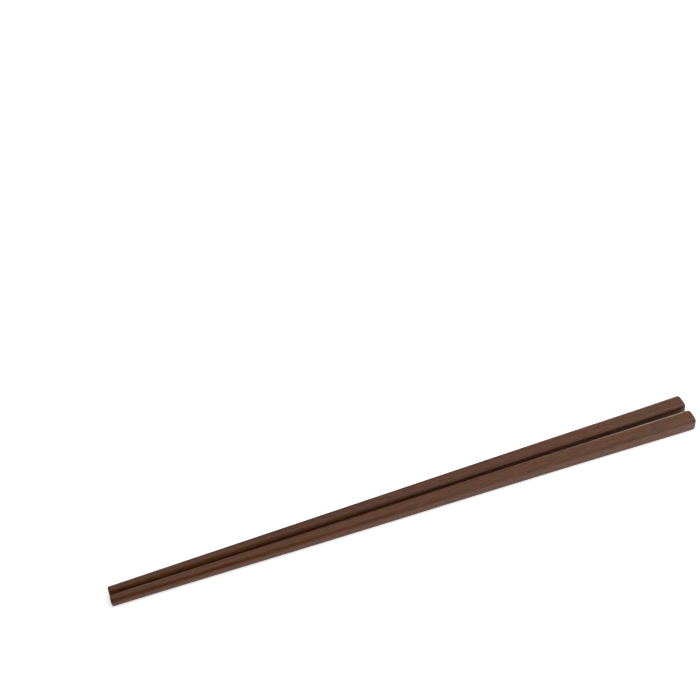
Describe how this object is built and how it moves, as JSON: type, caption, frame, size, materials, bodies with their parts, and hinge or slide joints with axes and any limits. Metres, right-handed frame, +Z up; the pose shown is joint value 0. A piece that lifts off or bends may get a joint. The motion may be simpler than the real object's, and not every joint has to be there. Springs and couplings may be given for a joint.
{
  "type": "pair of wooden chopsticks",
  "caption": "Pair of tapered hardwood chopsticks with rounded square shafts, softly crowned butts and square-cut tips, lying side by side for picking up food.",
  "frame": {"origin": "on the ground, in the middle of the pair's footprint", "axes": "+X along the sticks towards the butts, +Y from the front stick to the back stick, +Z up"},
  "size_m": [0.25, 0.0158, 0.0069],
  "materials": {
    "back_stick_wood": "dark red-brown ironwood, fine straight grain, sanded and wiped with clear satin lacquer",
    "front_stick_wood": "dark red-brown ironwood, fine straight grain, sanded and wiped with clear satin lacquer"
  },
  "bodies": {
    "root": {"back_chopstick": "back_stick_wood", "front_chopstick": "front_stick_wood"}
  },
  "joints": []
}
